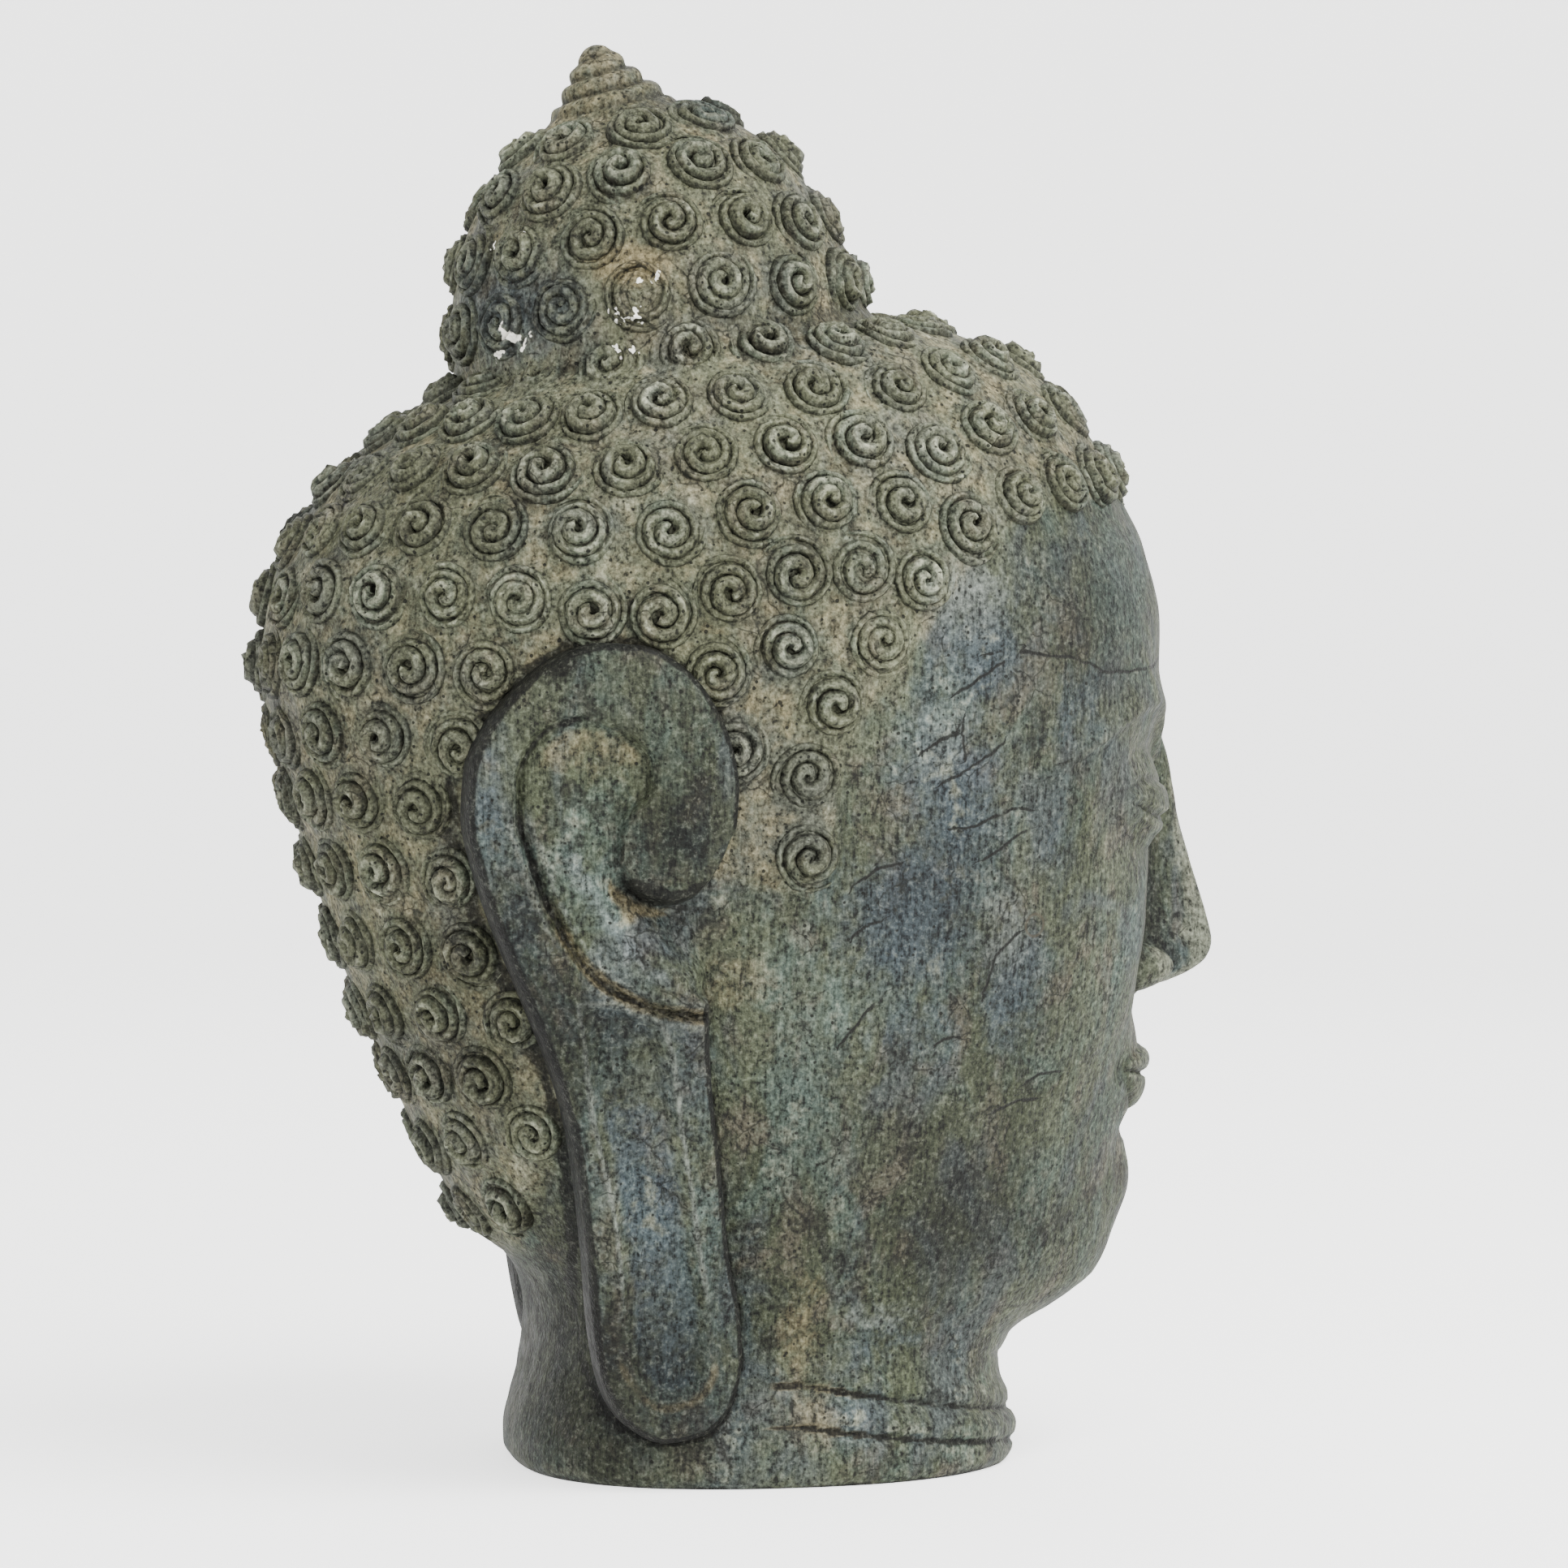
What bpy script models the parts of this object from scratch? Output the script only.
"""Bronze buddha head: rows of coiled curls, a topknot with a twisted point, long ears and a ringed neck that is cut
off flat. The face looks along -Y, and the origin is at the middle of the flat underside. The casting is one piece,
so the model is one solid."""

import math

import bpy
import numpy as np
from mathutils import Matrix, Vector

# Driving dimensions, in metres
OVERALL_HEIGHT = 0.594  # underside of the neck to the point of the topknot
HEAD_WIDTH = 0.272  # across the hair above the ears, without the curls
HEAD_DEPTH = 0.379  # brow to the back of the hair, without the curls
TOPKNOT_HEIGHT = 0.130  # crown to the point
TOPKNOT_DIAMETER = 0.170
CURL_DIAMETER = 0.0285
CURL_SPACING = 0.0330
CURL_HEIGHT = 0.0078
HAIR_THICKNESS = 0.0018
HAIR_EDGE = 0.010  # over which the hair's cap thins out
EAR_RIM_RADIUS = 0.0060
EAR_WALL = 0.014
BROW_MARK_DIAMETER = 0.0165
NECK_RING_DEPTH = 0.0016
POINT_COIL_PITCH = 0.0095  # between the turns of the twisted point
POINT_COIL_DEPTH = 0.0016
POINT_BEND = 0.0035  # how far the very tip leans further back

# How finely the form is drawn before it is thinned, and the triangles that are left
HEAD_COLUMNS, HEAD_ROWS = 260, 300
EAR_COLUMNS, EAR_ROWS = 34, 110
HEAD_TRIANGLES, EAR_TRIANGLES = 8100, 700
FINE_WEIGHT, FINE_CARE = 0.3, 0.004  # how much more the features of the face are spared when the form is thinned

# The forms are drawn in points of a pattern: its width, depth and height, between the same places as the sizes
PATTERN = np.array([272.0, 379.0, 594.0])
SCALE = np.array([HEAD_WIDTH, HEAD_DEPTH, OVERALL_HEIGHT]) / PATTERN
POINT = SCALE[2]

# Level sections of the head, underside to crown: height at the front and at the back, reach to the front and
# to the back, middle, half width, and how square the front and back halves are (2 is an ellipse)
SECTIONS = np.array([
    (-4, -4, 100, 102, 0, 90, 2.2, 2.5),
    (0, 0, 103.5, 105, 0, 93.5, 2.2, 2.5),
    (5, 5, 106.5, 108, 0, 96.5, 2.2, 2.5),
    (12, 12, 106.5, 108, 0, 96.5, 2.2, 2.5),
    (25, 25, 103.5, 106, 0, 94, 2.2, 2.5),
    (40, 40, 101, 102, 0, 91, 2.15, 2.5),
    (52, 52, 106, 100, 0, 91, 2.0, 2.5),
    (63, 63, 127, 99.5, 2, 92.5, 1.74, 2.4),
    (76, 77, 146, 102, 5, 96, 1.70, 2.3),
    (96, 98, 154, 118, 9, 101.5, 1.74, 2.2),
    (130, 130, 155, 139, 14, 109.5, 1.84, 2.1),
    (170, 170, 158, 158, 20, 117, 2.0, 2.1),
    (215, 215, 161, 177, 26, 124, 2.15, 2.1),
    (260, 260, 165, 191, 30, 129, 2.2, 2.1),
    (305, 302, 170, 203, 33, 133, 2.2, 2.1),
    (350, 338, 170, 209, 34, 136, 2.2, 2.1),
    (385, 368, 163, 205, 34, 135, 2.15, 2.1),
    (411, 392, 150, 193, 34, 130, 2.1, 2.1),
    (434, 412, 137, 178, 36, 120, 2.05, 2.05),
    (453, 427, 120, 161, 38, 109, 2.0, 2.0),
    (467, 439, 99, 145, 40, 99, 2.0, 2.0),
    (476, 447, 73, 133, 41, 91, 2.0, 2.0),
    (480, 451, 47, 126, 42, 86, 2.0, 2.0),
])

# The topknot is turned about an axis that leans back: height along it and radius, as shares of its sizes
TOPKNOT_FOOT = (42.5, 466.0)
TOPKNOT_LEAN = math.radians(11.2)
TOPKNOT_PROFILE = np.array([
    (0.031, 0.500), (0.160, 0.492), (0.290, 0.466), (0.415, 0.430), (0.530, 0.382), (0.630, 0.318),
    (0.700, 0.250), (0.746, 0.195), (0.777, 0.156), (0.831, 0.121), (0.885, 0.088), (0.938, 0.057),
    (0.975, 0.035), (0.994, 0.019), (1.0, 0.0),
])
POINT_START = 0.70  # share of the topknot's height where its twisted point begins


def topknot_sections():
    """The turned profile as tilted circles, in the columns of SECTIONS."""
    along = TOPKNOT_PROFILE[:, 0] * TOPKNOT_HEIGHT / POINT
    radius = TOPKNOT_PROFILE[:, 1] * TOPKNOT_DIAMETER / POINT
    bend = POINT_BEND / POINT * np.clip((TOPKNOT_PROFILE[:, 0] - POINT_START) / (1 - POINT_START), 0.0, 1.0)
    middle = TOPKNOT_FOOT[0] + along * math.sin(TOPKNOT_LEAN) + bend
    height = TOPKNOT_FOOT[1] + along * math.cos(TOPKNOT_LEAN)
    rise = radius * math.sin(TOPKNOT_LEAN)
    run = radius * math.cos(TOPKNOT_LEAN)
    round_power = np.full_like(along, 2.0)
    return np.stack([height + rise, height - rise, run - middle, run + middle, middle, radius,
                     round_power, round_power], axis=1)


def smooth_slopes(at, values):
    """Slopes for a cubic through the values that never swings past them."""
    step = np.diff(at)[:, None]
    slope = np.diff(values, axis=0) / step
    weight_a = 2 * step[1:] + step[:-1]
    weight_b = step[1:] + 2 * step[:-1]
    product = slope[:-1] * slope[1:]
    rising = product > 0
    blend = weight_a * slope[1:] + weight_b * slope[:-1]
    middle = (weight_a + weight_b) * product / np.where(rising, blend, 1.0)
    return np.concatenate([slope[:1], np.where(rising, middle, 0.0), slope[-1:]])


def smooth_curve(at, values, where):
    """Value of the smooth curve through (at, values) at each place."""
    values = np.asarray(values, float).reshape(len(at), -1)
    slopes = smooth_slopes(at, values)
    index = np.clip(np.searchsorted(at, where, side="right") - 1, 0, len(at) - 2)
    width = (at[index + 1] - at[index])[..., None]
    t = np.clip((where - at[index])[..., None] / width, 0.0, 1.0)
    return ((1 + 2 * t) * (1 - t) ** 2 * values[index] + t * t * (3 - 2 * t) * values[index + 1]
            + t * (1 - t) ** 2 * width * slopes[index] - t * t * (1 - t) * width * slopes[index + 1])


ALL_SECTIONS = np.vstack([SECTIONS, topknot_sections()])
STEPS = np.diff(ALL_SECTIONS, axis=0)
CLIMB = np.concatenate([[0.0], np.cumsum(
    (np.hypot(STEPS[:, 0], STEPS[:, 2]) + np.hypot(STEPS[:, 1], STEPS[:, 3])
     + np.hypot((STEPS[:, 0] + STEPS[:, 1]) / 2, STEPS[:, 5])) / 3)])


def plain_form(turn, climb):
    """Head without carving. turn goes round from the front towards +X, and climb runs up the surface in points:
    each section is a pair of half superellipses, and its height slopes from the front to the back."""
    turn, climb = np.broadcast_arrays(np.asarray(turn, float), np.asarray(climb, float))
    rows = smooth_curve(CLIMB, ALL_SECTIONS, climb)
    low, high, front, back, middle, half, front_power, back_power = np.moveaxis(rows, -1, 0)
    ahead = np.cos(turn) > 0
    reach = np.maximum(np.where(ahead, front + middle, back - middle), 1e-6)
    power = np.where(ahead, front_power, back_power)
    across = np.abs(np.sin(turn)) / np.maximum(half, 1e-6)
    along = np.abs(np.cos(turn)) / reach
    radius = (across ** power + along ** power) ** (-1 / power)
    x = radius * np.sin(turn)
    y = middle - radius * np.cos(turn)
    share = (y + front) / np.maximum(front + back, 1e-6)
    return np.stack([x, y, low + (high - low) * share], axis=-1)


def outward(turn, climb):
    """Unit direction that the plain form faces."""
    step = 0.5
    turned = plain_form(turn + 0.004, climb) - plain_form(turn - 0.004, climb)
    climbed = plain_form(turn, climb + step) - plain_form(turn, climb - step)
    facing = np.cross(turned, climbed)
    return facing / np.maximum(np.linalg.norm(facing, axis=-1, keepdims=True), 1e-9)


def ramp(value):
    """Smooth step from 0 at 0 to 1 at 1."""
    value = np.clip(value, 0.0, 1.0)
    return value * value * (3 - 2 * value)


def mound(across, up):
    """Soft round swelling: 1 in its middle, 0 from one radius out."""
    return np.clip(1 - across ** 2 - up ** 2, 0.0, 1.0) ** 2


def dome(across, up):
    """Round-topped swelling with a clear edge one radius out."""
    return np.sqrt(np.clip(1 - across ** 2 - up ** 2, 0.0, 1.0))


def groove(distance, width):
    """Round-bottomed groove, 1 deep on its line and 0 one width away."""
    return np.clip(1 - (distance / width) ** 2, 0.0, 1.0) ** 2


EYE_X, EYE_Z = 47.0, 281.0
EYE_HALF = 29.0
BROW_X, BROW_Z = 58.0, 321.0
NOSE_HEIGHTS = np.array([(190, 0), (195, 5), (199, 18), (204, 29), (209, 35), (215, 37), (224, 35), (236, 30.5),
                         (252, 24), (270, 17), (286, 11.5), (298, 7.5), (316, 0)], float)
MOUTH_Z, MOUTH_HALF = 160.0, 35.0
CHIN_Z = 116.0
BROW_MARK_Z = 329.0


def swelling(across, up, fullness):
    """Rounded form with a soft foot: 1 in its middle, 0 from one radius out."""
    return np.clip(1 - across ** 2 - up ** 2, 0.0, 1.0) ** fullness


def eyes(x, z):
    """Lowered eyes: a hollow under the brow, a rounded ball, the heavy upper lid over it and a narrow slit that
    sags in its middle like the edge of a petal."""
    x = np.abs(x)
    across = (x - EYE_X) / EYE_HALF
    share = np.clip(1 - across ** 2, 0.0, 1.0)
    corner = EYE_Z - 3.0 + 2.5 * across
    lash = corner - 4.5 * share ** 1.4
    lower = lash - 4.4 * share ** 0.7
    crease = corner + 10.0 * share ** 0.6
    within = ramp(share * 5)
    form = -6.5 * mound((x - EYE_X) / 44.0, (z - EYE_Z - 12.0) / 28.0)
    form += 9.0 * swelling((x - EYE_X) / 36.0, (z - EYE_Z + 1.0) / 22.0, 1.15)
    form += 1.9 * ramp((z - lash + 0.4) / 1.8) * ramp((crease - z) / 6.0 + 0.1) * within
    form += 1.2 * groove(z - lower + 2.6, 3.4) * within
    form -= 1.7 * ramp((lash - z) / 1.4) * ramp((z - lower) / 1.4) * within
    form -= 1.5 * groove(z - crease, 2.6) * ramp((1.12 - np.abs(across)) * 4)
    return form


def brows(x, z):
    """Long arched brows with a crisp lower edge, running down into the nose."""
    x = np.abs(x)
    inner = BROW_Z - 31.0 * ((x - BROW_X) / 50.0) ** 2
    outer = BROW_Z - 29.0 * (np.maximum(x - BROW_X, 0.0) / 50.0) ** 1.8
    above = z - np.where(x < BROW_X, inner, outer)
    fall = np.where(above > 0, np.exp(-(above / 11.0) ** 2), np.exp(-(above / 3.5) ** 2))
    ends = ramp((x - 6.0) / 12.0) * ramp((112.0 - x) / 22.0)
    return 3.4 * fall * ends


def nose(x, z):
    """Ridge from the brows to the tip, with rounded wings and shallow nostrils."""
    x = np.abs(x)
    height = smooth_curve(NOSE_HEIGHTS[:, 0], NOSE_HEIGHTS[:, 1], z)[..., 0]
    height = np.where((z < NOSE_HEIGHTS[0, 0]) | (z > NOSE_HEIGHTS[-1, 0]), 0.0, height)
    flat = np.interp(z, (200, 212, 240, 290), (5.0, 5.5, 2.5, 3.5))
    foot = np.interp(z, (196, 214, 240, 300), (18.0, 20.0, 17.0, 15.0))
    ridge = height * (1 - ramp((x - flat) / (foot - flat)))
    wing = 18.0 * swelling((x - 16.5) / 10.0, (z - 206.0) / 11.0, 0.75)
    nostril = 5.0 * mound((x - 9.5) / 5.5, (z - 198.0) / 4.2)
    return (ridge ** 4 + wing ** 4) ** 0.25 - nostril


def mouth(x, z):
    """Closed mouth with a slight smile: two full lips meeting in a groove, a furrow above and dimples beside."""
    across = x / MOUTH_HALF
    share = np.clip(1 - across ** 2, 0.0, 1.0)
    line = MOUTH_Z + 4.0 * across ** 2 - 1.5 * groove(x, 10.0)
    upper_height = 11.5 * share ** 0.75 - 1.8 * groove(x, 6.0) + 0.01
    lower_height = 14.5 * share ** 0.7 + 0.01
    upper = dome((z - line - upper_height * 0.5) / (upper_height * 0.58), 0.0)
    lower = dome((z - line + lower_height * 0.5) / (lower_height * 0.58), 0.0)
    form = 7.0 * mound(x / 50.0, (z - MOUTH_Z - 2.0) / 38.0)
    form += 5.4 * share ** 0.55 * np.maximum(upper, lower)
    form -= 2.2 * groove(z - line, 2.0) * ramp(share * 5)
    form -= 2.0 * groove(x, 6.0) * ramp((z - MOUTH_Z - 12.0) / 6.0) * ramp((196.0 - z) / 8.0)
    form -= 2.8 * mound((np.abs(x) - MOUTH_HALF - 4.0) / 9.0, (z - MOUTH_Z - 4.0) / 10.0)
    return form


def face(x, z):
    """How far the carving of the face stands forward of the plain form."""
    form = eyes(x, z) + brows(x, z) + nose(x, z) + mouth(x, z)
    form += 7.5 * mound(x / 36.0, (z - CHIN_Z) / 27.0)
    form -= 3.0 * mound(x / 28.0, (z - MOUTH_Z + 22.0) / 9.0)
    form += 5.5 * mound((np.abs(x) - 66.0) / 54.0, (z - 220.0) / 64.0)
    mark = BROW_MARK_DIAMETER / 2 / POINT
    form += 0.55 * mark * dome(x / mark, (z - BROW_MARK_Z) / mark)
    return form


# Lower edge of the hair round the head: degrees from the front, and height
HAIRLINE = np.array([(0, 404), (28, 402), (42, 394), (50, 380), (55, 364), (63, 336), (70, 312), (74, 282), (77, 250),
                     (84, 243), (92, 246), (100, 250), (112, 215), (126, 165), (140, 125), (155, 97), (168, 89),
                     (180, 88)], float)
# Middles of the curls that edge the brow and temple: degrees from the front, and height
BROW_CURLS = np.array([(0, 417), (14, 416), (31, 411), (39.5, 408), (50, 397), (60, 376), (67.5, 350), (76, 324),
                       (80.5, 294.5), (81, 262)], float)


def fold_turn(turn):
    """Angle from the front in degrees, 0 to 180, the same on both sides."""
    return np.abs(np.degrees(np.angle(np.exp(1j * turn))))


def hair_edge(turn):
    return smooth_curve(HAIRLINE[:, 0], HAIRLINE[:, 1], fold_turn(turn))[..., 0]


def hair_depth(turn, points):
    """Distance of a point above the hairline, measured square to the line."""
    step = 0.01
    slope = (hair_edge(turn + step) - hair_edge(turn - step)) / (2 * step)
    radius = np.maximum(np.hypot(points[..., 0], points[..., 1] - 30.0), 40.0)
    return (points[..., 2] - hair_edge(turn)) / np.sqrt(1 + (slope / radius) ** 2)


# Creases of the neck: height in front, height beside the ear, and depth as a share of the full one
NECK_CREASES = ((6.0, 25.0, 1.0), (19.0, 42.0, 1.0), (42.0, 62.0, 0.45))


def neck_rings(turn, z):
    """Creases round the throat from ear to ear, lower in front than beside the ears. The skin is cut along each
    one and swells above it."""
    from_front = fold_turn(turn)
    fade = ramp((112.0 - from_front) / 22.0) * NECK_RING_DEPTH / POINT
    relief = np.zeros(np.broadcast(turn, z).shape)
    for in_front, beside, share in NECK_CREASES:
        above = z - in_front - (beside - in_front) * np.clip(from_front / 92.0, 0.0, 1.0) ** 1.3
        relief += share * fade * (0.9 * np.exp(-((above - 6.5) / 4.5) ** 2) - groove(above, 2.6))
    return relief


def twisted_point(turn, climb):
    """One soft thread coiled up the cone at the very top: round crests with a narrow valley between them."""
    pitch = POINT_COIL_PITCH / POINT
    below = CLIMB[-1] - climb
    cone = 0.31 * TOPKNOT_HEIGHT / POINT
    fade = ramp((cone - below) / pitch) * ramp((below - 0.3 * pitch) / (1.5 * pitch))
    crest = np.abs(np.cos(math.pi * below / pitch + turn / 2))
    return POINT_COIL_DEPTH / POINT * fade * (1.7 * crest - 1.1)


def skin(turn, climb):
    """Head with its face, its hair cap, the rings of its neck and its twisted point, before the curls."""
    points = plain_form(turn, climb)
    facing = outward(turn, climb)
    in_front = ramp((95.0 - fold_turn(turn)) / 25.0) * (points[..., 2] < 360.0)
    ahead = face(points[..., 0], points[..., 2]) * in_front
    raised = HAIR_THICKNESS / POINT * ramp(hair_depth(turn, points) * POINT / HAIR_EDGE)
    raised += neck_rings(turn, points[..., 2]) + twisted_point(turn, climb)
    points = points + facing * raised[..., None]
    points[..., 1] -= ahead
    return points


def along_line(line, spacing):
    """Evenly spaced places along a line of (degrees, height), as turn and climb."""
    turn = np.radians(np.linspace(line[0, 0], line[-1, 0], 400))
    climb_table = np.linspace(60.0, 620.0, 561)
    height = smooth_curve(line[:, 0], line[:, 1], np.degrees(turn))[..., 0]
    columns = plain_form(turn[:, None], climb_table[None, :])[..., 2]
    climb = np.array([np.interp(level, column, climb_table) for level, column in zip(height, columns)])
    path = plain_form(turn, climb)
    length = np.concatenate([[0.0], np.cumsum(np.linalg.norm(np.diff(path, axis=0), axis=1))])
    count = int(round(length[-1] / spacing))
    places = np.linspace(0.0, length[-1], count + 1)
    return np.interp(places, length, turn), np.interp(places, length, climb)


def curl_places():
    """Turn and climb of every curl: one row along the brow and temples, then staggered rows round the head and
    the topknot, pushed apart until they sit about a spacing from each other."""
    spacing = CURL_SPACING / POINT
    edge_turn, edge_climb = along_line(BROW_CURLS, 0.92 * spacing)
    fixed_turn = np.concatenate([-edge_turn[:0:-1], edge_turn])
    fixed_climb = np.concatenate([edge_climb[:0:-1], edge_climb])
    turns, climbs = [], []
    top = CLIMB[-1] - 0.44 * TOPKNOT_HEIGHT / POINT
    rows = np.arange(top, 100.0, -0.90 * spacing)
    for number, climb in enumerate(rows):
        ring = plain_form(np.linspace(0, 2 * math.pi, 181), climb)
        around = np.linalg.norm(np.diff(ring, axis=0), axis=1).sum()
        count = max(int(round(around / spacing)), 3)
        turns.append((np.arange(count) + 0.5 * (number % 2)) * 2 * math.pi / count)
        climbs.append(np.full(count, climb))
    turn, climb = np.concatenate(turns), np.concatenate(climbs)
    points = plain_form(turn, climb)
    fixed = plain_form(fixed_turn, fixed_climb)
    clear = np.linalg.norm(points[:, None] - fixed[None], axis=2).min(axis=1) > 0.66 * spacing
    keep = (hair_depth(turn, points) > 0.42 * spacing) & clear & ~under_ear(points, 6.0)
    turn = np.concatenate([fixed_turn, turn[keep]])
    climb = np.concatenate([fixed_climb, climb[keep]])
    free = np.arange(len(turn)) >= len(fixed_turn)
    rng = np.random.default_rng(7)
    climb = climb + free * rng.normal(0.0, 1.2, len(turn))
    for _ in range(30):
        points = plain_form(turn, climb)
        apart = points[:, None] - points[None]
        distance = np.linalg.norm(apart, axis=2) + np.eye(len(points)) * 1e6
        push = np.clip(1.0 - distance / (1.02 * spacing), 0.0, 1.0)
        move = (apart / distance[..., None] * push[..., None]).sum(axis=1) * 0.22 * spacing
        by_turn = (plain_form(turn + 0.01, climb) - points) / 0.01
        by_climb = plain_form(turn, climb + 1.0) - points
        turn = turn + free * (move * by_turn).sum(axis=1) / np.maximum((by_turn ** 2).sum(axis=1), 1.0)
        climb = climb + free * (move * by_climb).sum(axis=1) / (by_climb ** 2).sum(axis=1)
        short = np.maximum(0.45 * spacing - hair_depth(turn, plain_form(turn, climb)), 0.0)
        climb = np.minimum(climb + free * short, top)
    seen = ~under_ear(plain_form(turn, climb), -2.0)
    return turn[seen], climb[seen]


def near_curls(points, middles, facings):
    """Relief of the curls: round buttons with steep sides."""
    radius = CURL_DIAMETER / 2 / POINT
    height = CURL_HEIGHT / POINT
    relief = np.zeros(points.shape[:-1])
    for middle, facing in zip(middles, facings):
        offset = points - middle
        near = np.abs(offset).max(axis=-1) < 1.6 * radius
        offset = offset[near]
        out = offset @ facing
        level = np.sqrt(np.maximum((offset ** 2).sum(axis=-1) - out ** 2, 0.0)) / radius
        bump = height * np.sqrt(np.clip(1 - level ** 2.6, 0.0, 1.0))
        relief[near] = np.maximum(relief[near], bump)
    return relief


# Outline of the ear from its top, round the back, the lobe and the front: distance behind the middle, and height
EAR_OUTLINE = np.array([(80, 347), (96, 348), (110, 344), (123, 335), (139, 316), (147, 297), (148, 278), (143, 255),
                        (135, 232), (124, 206), (113, 180), (106, 160), (100, 133), (95, 100), (91, 66), (86, 43),
                        (76, 27), (61, 20), (45, 23), (34, 35), (30, 55), (32, 75), (37, 96), (40, 116), (43, 136),
                        (47, 160), (50, 186), (51, 201), (50, 232), (46, 256), (42, 272), (41, 290), (44, 307),
                        (51, 323), (63, 338)], float)
# Cheek in front of the ear, between the curled end of the rim, the slope of the fold and the top of the lobe
CURL_FOOT = np.array([(20, 280), (37, 278), (45, 271), (49.5, 261), (55.5, 252), (61.5, 247.5), (68.5, 246),
                      (75, 247.5), (81, 250.5), (86, 256)], float)
FOLD_FOOT = np.array([(92, 256), (97, 251), (94, 243), (87, 235), (80, 227), (72, 218), (64, 210)], float)
LOBE_TOP = np.array([(64, 210), (55, 204), (46, 201), (20, 201)], float)
EAR_NOTCH = np.vstack([CURL_FOOT, FOLD_FOOT, LOBE_TOP[1:]])
# Crest of the fold that runs down between the hollow and the cut line
EAR_FOLD = np.array([(113, 300), (113, 289), (111.5, 274.5), (108.5, 264), (103.5, 253.5), (96, 241), (87.5, 230.5),
                     (77, 219), (66.5, 210.5)], float)
# Hollow inside the rim
EAR_BOWL = np.array([(103, 317), (92, 315), (81, 309), (75, 298), (76, 289), (83, 280), (87, 272), (87, 262), (85, 254),
                     (86, 246), (80, 238), (78, 225), (73, 213), (64, 205), (54, 199), (73, 203), (85, 208),
                     (97, 216), (107, 228), (116, 245), (122, 261), (126, 275), (127, 292), (122, 306),
                     (114, 314)], float)
# Cut line between the hollow and the back of the rim
EAR_LINE = np.array([(105, 317.5), (115, 315), (123, 307), (128, 293), (128, 280), (123, 261), (117, 245), (108, 228),
                     (98, 215), (86, 206.5), (73, 201), (54, 197.5)], float)
# Long hollow down the lobe
LOBE_HOLLOW = np.array([(104, 203), (100, 179), (97, 159), (92, 140), (87, 120), (83, 96), (80, 71), (78, 55), (71, 43),
                        (63, 38), (53, 40), (46, 48), (45, 60), (46, 75), (51, 102), (55, 125), (60, 149), (63, 167),
                        (66, 183), (72, 197), (86, 204)], float)
EAR_LEVEL = np.array([(0, 98), (20, 100), (60, 105), (100, 113), (160, 128), (220, 141), (280, 148), (350, 151),
                      (380, 152)], float)
EAR_FLARE = 0.23
EAR_ROOT = 40.0


def rounded(outline, count, closed=True):
    """Evenly spaced points of a smooth curve through the outline's points."""
    points = np.vstack([outline, outline[:1]]) if closed else outline
    length = np.concatenate([[0.0], np.cumsum(np.linalg.norm(np.diff(points, axis=0), axis=1))])
    if closed:
        points = np.vstack([points[-4:-1], points, points[1:4]])
        length = np.concatenate([length[-4:-1] - length[-1], length, length[1:4] + length[-1]])
    places = np.linspace(0.0, length[-4] if closed else length[-1], count, endpoint=not closed)
    return smooth_curve(length, points, places)


def line_distance(points, line, closed=True):
    """Distance of each point to a line, less than zero inside a closed one."""
    ends = np.roll(line, -1, axis=0) if closed else line[1:]
    starts = line if closed else line[:-1]
    run = ends - starts
    offset = points[:, None] - starts[None]
    share = np.clip((offset * run).sum(axis=2) / np.maximum((run ** 2).sum(axis=1), 1e-9), 0.0, 1.0)
    distance = np.linalg.norm(offset - share[..., None] * run, axis=2).min(axis=1)
    if not closed:
        return distance
    above = points[:, None, 1] < ends[None, :, 1]
    crosses = (points[:, None, 1] < starts[None, :, 1]) != above
    rise = np.where(np.abs(run[:, 1]) < 1e-9, 1e-9, run[:, 1])
    at = starts[:, 0] + offset[..., 1] / rise * run[:, 0]
    inside = (crosses & (points[:, None, 0] < at)).sum(axis=1) % 2 == 1
    return np.where(inside, -distance, distance)


def under_ear(points, margin):
    """Whether a curl here would be covered by an ear."""
    at_side = np.abs(points[:, 0]) > 50.0
    return at_side & (line_distance(points[:, 1:], rounded(EAR_OUTLINE, 160)) < -margin)


def ear_sheet(points):
    """Distance from the mid-plane of the ear's flat face: it leans in to the neck and turns back with the head."""
    level = smooth_curve(EAR_LEVEL[:, 0], EAR_LEVEL[:, 1], points[:, 1])[:, 0]
    return level - EAR_FLARE * 12.0 * np.logaddexp(0.0, (points[:, 0] - 60.0) / 12.0)


def side_level(points):
    """Distance from the mid-plane of the plain head's side, at each place behind the middle and height."""
    low, high, front, back, middle, half, front_power, back_power = smooth_curve(
        SECTIONS[:, 0], SECTIONS, points[:, 1]).T
    behind = points[:, 0] - middle
    power = np.where(behind < 0, front_power, back_power)
    share = np.abs(behind) / np.where(behind < 0, front + middle, back - middle)
    return half * np.clip(1 - share ** power, 0.0, 1.0) ** (1 / power)


def above_cheek(points):
    """1 on the ear and 0 on the cheek in front of it. The ear's fold runs out into the cheek in a long slope. The
    curled end of the rim stands over the cheek with a steep wall, and so does the top of the lobe."""
    share = np.zeros(len(points))
    for line, slope in ((CURL_FOOT, 5.5), (FOLD_FOOT, 22.0), (LOBE_TOP, 7.0)):
        share = np.maximum(share, 1 - ramp(line_distance(points, rounded(line, 60, False), False) / slope))
    return np.where(line_distance(points, rounded(EAR_NOTCH, 160)) < 0, share, 1.0)


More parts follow.
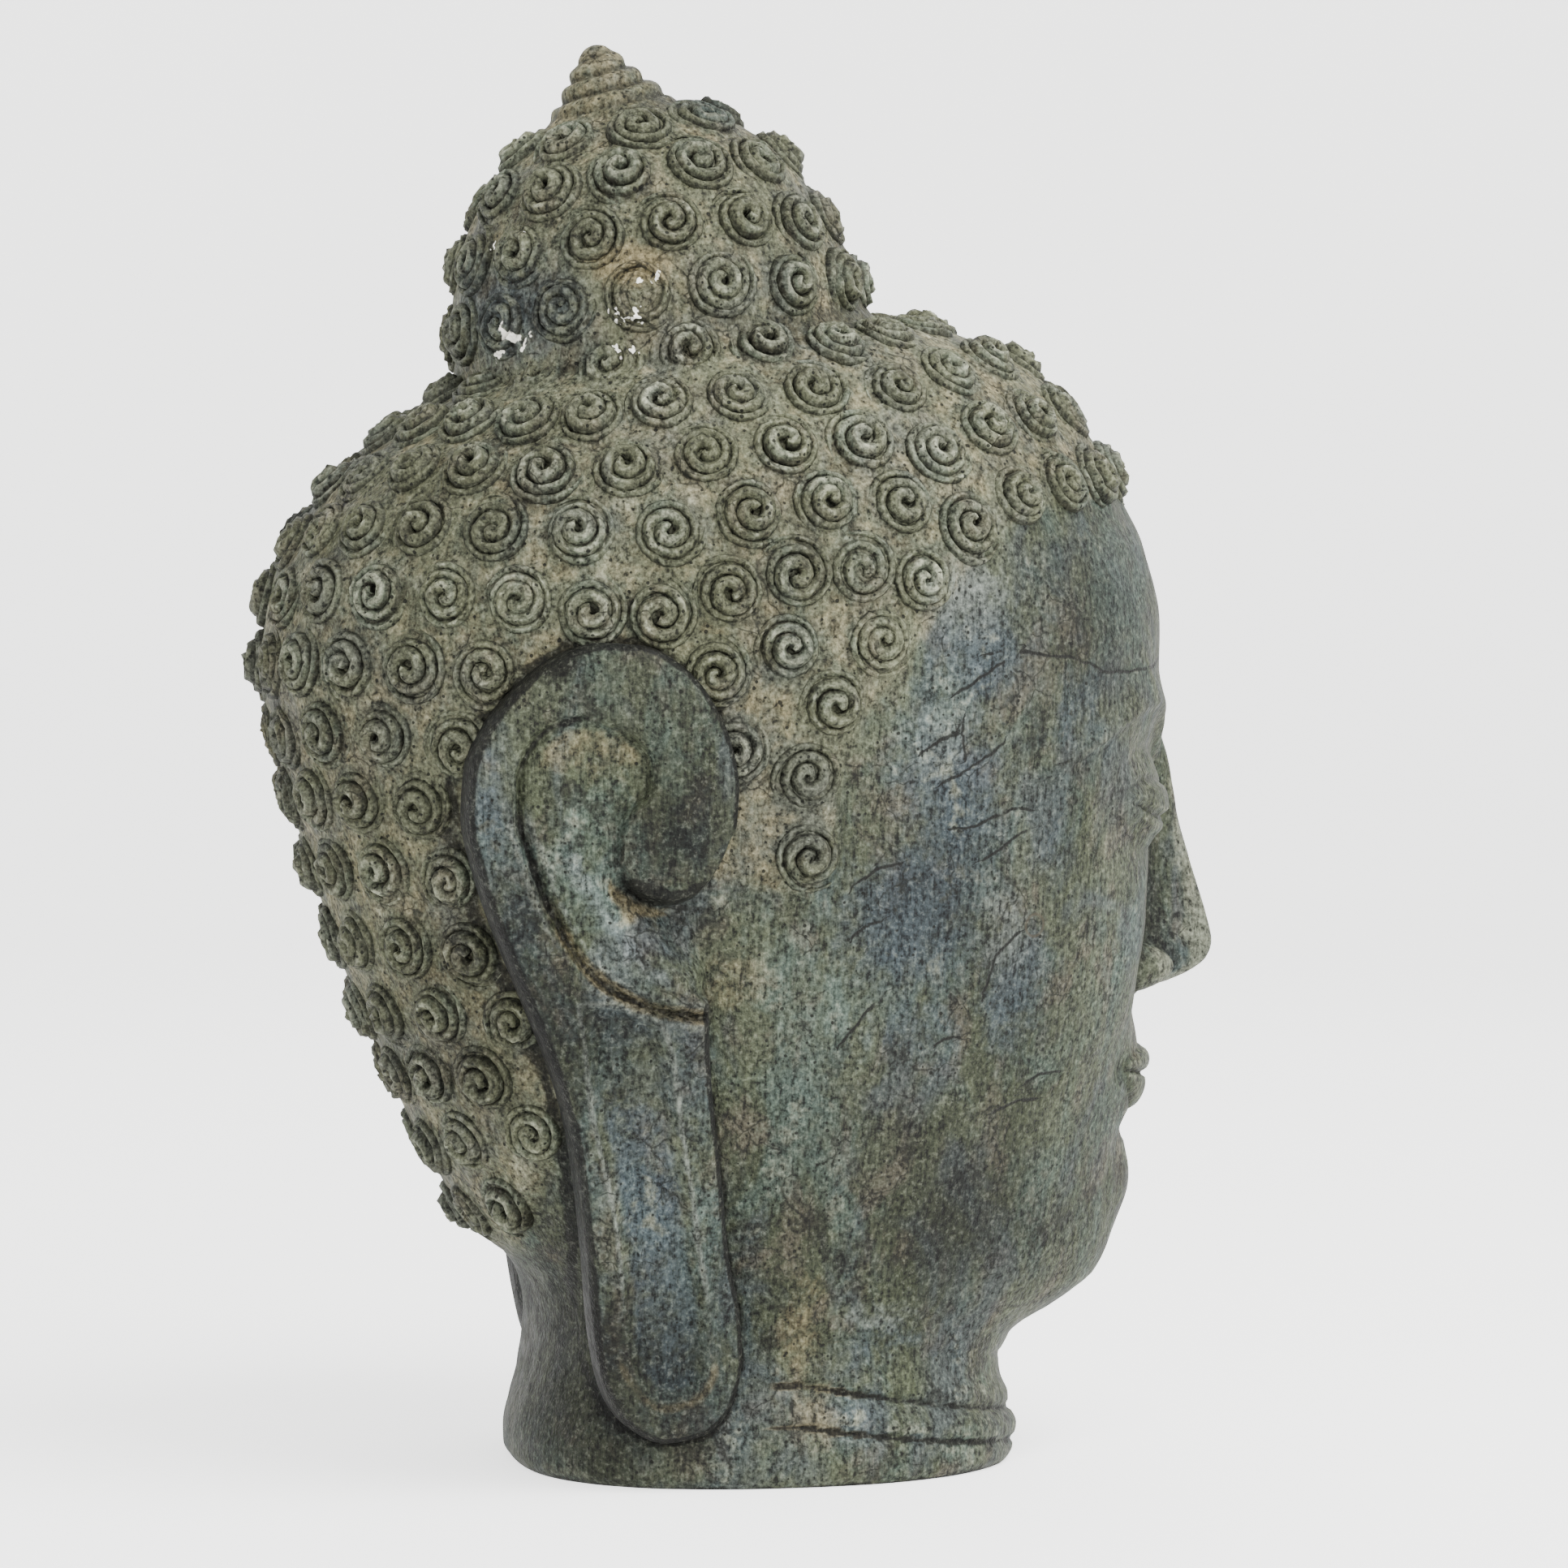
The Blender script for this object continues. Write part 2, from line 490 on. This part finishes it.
def ear_surface(points):
    """How far out the carved ear is: rounded rim, hollow, cut line, the fold between them and the hollow of the
    lobe, laid over the ear's sheet, and sunk just under the cheek in front."""
    rim = EAR_RIM_RADIUS / POINT
    edge = np.clip(1 + line_distance(points, rounded(EAR_OUTLINE, 300)) / rim, 0.0, 1.0)
    relief = rim * (np.sqrt(np.clip(1 - edge ** 2, 0.0, 1.0)) - 1.0)
    bowl = line_distance(points, rounded(EAR_BOWL, 200))
    to_curl = ramp((112.0 - points[:, 0]) / 34.0) * ramp((points[:, 1] - 238.0) / 18.0)
    relief -= ramp(0.3 - bowl / 5.0) * (1.5 * ramp((points[:, 1] - 215.0) / 20.0) + 5.0 * to_curl)
    relief += 2.0 * np.exp(-(line_distance(points, rounded(EAR_FOLD, 80, False), False) / 8.0) ** 2)
    relief -= 4.0 * groove(line_distance(points, rounded(EAR_LINE, 120, False), False), 3.6)
    relief -= 3.2 * ramp(-line_distance(points, rounded(LOBE_HOLLOW, 200)) / 6.0)
    under_skin = side_level(points) - 1.5
    return under_skin + above_cheek(points) * (ear_sheet(points) + relief - under_skin)


def grid_faces(rows, columns):
    """Four-sided faces of a grid that closes round its columns."""
    row = np.arange(rows - 1)[:, None] * columns
    here = np.arange(columns)[None]
    after = (here + 1) % columns
    quads = np.stack([row + here, row + after, row + columns + after, row + columns + here], axis=-1)
    return quads.reshape(-1, 4)


def pole_faces(ring, pole, turned):
    """Triangles from a ring of vertices to one vertex."""
    after = np.roll(ring, -1)
    first, second = (ring, after) if turned else (after, ring)
    return np.stack([first, second, np.full_like(ring, pole)], axis=1)


def closed_mesh(name, grid, flipped=False):
    """Mesh of a grid of points whose columns close and whose first and last rows draw in to a point."""
    rows, columns = grid.shape[:2]
    poles = np.stack([grid[0].mean(axis=0), grid[-1].mean(axis=0)])
    points = np.vstack([grid.reshape(-1, 3), poles]) * SCALE
    quads = grid_faces(rows, columns)
    foot = pole_faces(np.arange(columns), rows * columns, False)
    head = pole_faces((rows - 1) * columns + np.arange(columns), rows * columns + 1, True)
    faces = quads.tolist() + foot.tolist() + head.tolist()
    mesh = bpy.data.meshes.new(name)
    mesh.from_pydata(points.tolist(), [], [face[::-1] for face in faces] if flipped else faces)
    mesh.update()
    return mesh


def head_mesh():
    """The whole head as one closed surface of rows and columns."""
    turn = np.linspace(0, 2 * math.pi, HEAD_COLUMNS, endpoint=False)
    climb = np.linspace(0.0, CLIMB[-1] - 0.6, HEAD_ROWS)
    grid_turn, grid_climb = np.meshgrid(turn, climb)
    points = skin(grid_turn, grid_climb)
    curl_turn, curl_climb = curl_places()
    middles = plain_form(curl_turn, curl_climb)
    facings = outward(curl_turn, curl_climb)
    relief = near_curls(plain_form(grid_turn, grid_climb), middles, facings)
    points += outward(grid_turn, grid_climb) * relief[..., None]
    return closed_mesh("head", points)


def ear_mesh(side):
    """One ear as rows across it from the top to the lobe: over the carved face, then back through the head."""
    outline = rounded(EAR_OUTLINE, 360)
    top, bottom = outline[:, 1].argmax(), outline[:, 1].argmin()
    share = (np.arange(EAR_ROWS) + 0.6) / (EAR_ROWS + 0.2)
    behind = np.roll(outline, -top, axis=0)[:(bottom - top) % 360 + 1]
    ahead = np.roll(outline[::-1], top + 1, axis=0)[:(top - bottom) % 360 + 1]
    back = np.stack([np.interp(share, np.linspace(0, 1, len(behind)), behind[:, axis]) for axis in (0, 1)], axis=1)
    front = np.stack([np.interp(share, np.linspace(0, 1, len(ahead)), ahead[:, axis]) for axis in (0, 1)], axis=1)
    over = 0.5 - 0.5 * np.cos(np.linspace(0.02, 0.98, EAR_COLUMNS) * math.pi)
    flat = back[:, None] + (front - back)[:, None] * over[None, :, None]
    points = flat.reshape(-1, 2)
    out = ear_surface(points).reshape(EAR_ROWS, EAR_COLUMNS)
    face_points = np.dstack([out, flat])
    wall = EAR_WALL / POINT
    loops = [face_points]
    for edge, column in ((front, -1), (back, 0)):
        near = np.dstack([out[:, column:column + 1 or None] - wall, edge[:, None]])
        deep = np.dstack([np.full((EAR_ROWS, 1), EAR_ROOT), edge[:, None] * (0.7, 1.0) + (15.0, 0.0)])
        loops += [near, deep] if column else [deep, near]
    grid = np.concatenate(loops, axis=1)
    grid[..., 0] *= side
    return closed_mesh("ear", grid, flipped=side > 0)


def bronze():
    """Grey-green bronze, waxed over an old patina."""
    material = bpy.data.materials.new("patinated_bronze")
    material.use_nodes = True
    shader = material.node_tree.nodes["Principled BSDF"]
    shader.inputs["Base Color"].default_value = (0.115, 0.12, 0.09, 1.0)
    shader.inputs["Metallic"].default_value = 0.6
    shader.inputs["Roughness"].default_value = 0.55
    return material


def thinned(obj, triangles, fine=None):
    """Keeps the form with about this many triangles, and more of them on the vertices that are marked as fine."""
    modifier = obj.modifiers.new("thin", "DECIMATE")
    faces = sum(len(polygon.vertices) - 2 for polygon in obj.data.polygons)
    modifier.ratio = triangles / faces
    if fine is None:
        return
    group = obj.vertex_groups.new(name="fine")
    group.add(np.flatnonzero(~fine).tolist(), 1.0, "REPLACE")
    group.add(np.flatnonzero(fine).tolist(), FINE_WEIGHT, "REPLACE")
    modifier.vertex_group = group.name
    modifier.vertex_group_factor = FINE_CARE


def on_face(mesh):
    """Marks the vertices round the eyes, the foot of the nose and the mouth."""
    places = np.empty(len(mesh.vertices) * 3)
    mesh.vertices.foreach_get("co", places)
    x, y, z = (places.reshape(-1, 3) / SCALE).T
    eye = ((np.abs(x) - EYE_X) / 36.0) ** 2 + ((z - EYE_Z) / 20.0) ** 2 < 1.0
    nose_foot = (x / 30.0) ** 2 + ((z - 207.0) / 19.0) ** 2 < 1.0
    lips = (x / 44.0) ** 2 + ((z - MOUTH_Z) / 22.0) ** 2 < 1.0
    mark = x ** 2 + (z - BROW_MARK_Z) ** 2 < 100.0
    return (y < 0.0) & (eye | nose_foot | lips | mark)


def box(name, low, high):
    """Closed box between two corners, in metres."""
    bpy.ops.mesh.primitive_cube_add(size=1.0)
    obj = bpy.context.object
    obj.name = name
    obj.data.transform(Matrix.LocRotScale((Vector(low) + Vector(high)) / 2, None, Vector(high) - Vector(low)))
    return obj


def into(collection, obj):
    """Moves an object to one collection."""
    for old in list(obj.users_collection):
        old.objects.unlink(obj)
    collection.objects.link(obj)


def boolean(obj, other, operation):
    """Cuts or joins another object, which is then only a guide."""
    modifier = obj.modifiers.new(other.name, "BOOLEAN")
    modifier.operation = operation
    modifier.object = other
    other.hide_render = True
    other.display_type = "WIRE"


def main():
    for obj in list(bpy.data.objects):
        bpy.data.objects.remove(obj)
    work = bpy.data.collections.new("bronze_buddha_head")
    cutters = bpy.data.collections.new("cutters")
    for collection in (work, cutters):
        bpy.context.scene.collection.children.link(collection)
    head = bpy.data.objects.new("head", head_mesh())
    head.data.materials.append(bronze())
    work.objects.link(head)
    thinned(head, HEAD_TRIANGLES, on_face(head.data))
    for side, name in ((-1, "ear_right"), (1, "ear_left")):
        ear = bpy.data.objects.new(name, ear_mesh(side))
        cutters.objects.link(ear)
        thinned(ear, EAR_TRIANGLES)
        boolean(head, ear, "UNION")
    saw = box("below_the_neck", (-HEAD_WIDTH, -HEAD_DEPTH, -OVERALL_HEIGHT / 10), (HEAD_WIDTH, HEAD_DEPTH, 0.0))
    into(cutters, saw)
    boolean(head, saw, "DIFFERENCE")


main()
